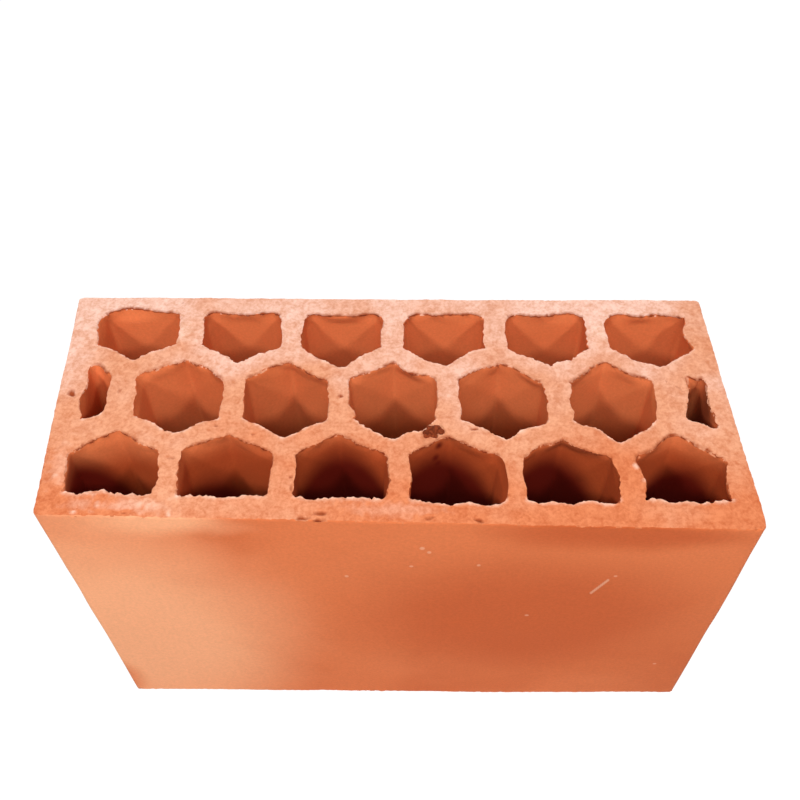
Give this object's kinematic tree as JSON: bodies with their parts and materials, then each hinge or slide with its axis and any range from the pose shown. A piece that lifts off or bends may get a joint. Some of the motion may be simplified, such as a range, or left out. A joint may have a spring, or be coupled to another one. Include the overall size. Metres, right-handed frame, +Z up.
{
  "type": "hollow clay brick",
  "caption": "Hollow fired-clay brick, a plain block with upright honeycomb cells right through it, for laying in mortar in walls and partitions.",
  "frame": {"origin": "middle of the lower cut face, on the floor that the brick stands on", "axes": "+X along the length, +Y towards the back long face, +Z up along the cells"},
  "size_m": [0.24, 0.1, 0.15],
  "materials": {
    "fired_clay": "matte"
  },
  "bodies": {
    "root": {"brick": "fired_clay"}
  },
  "joints": []
}
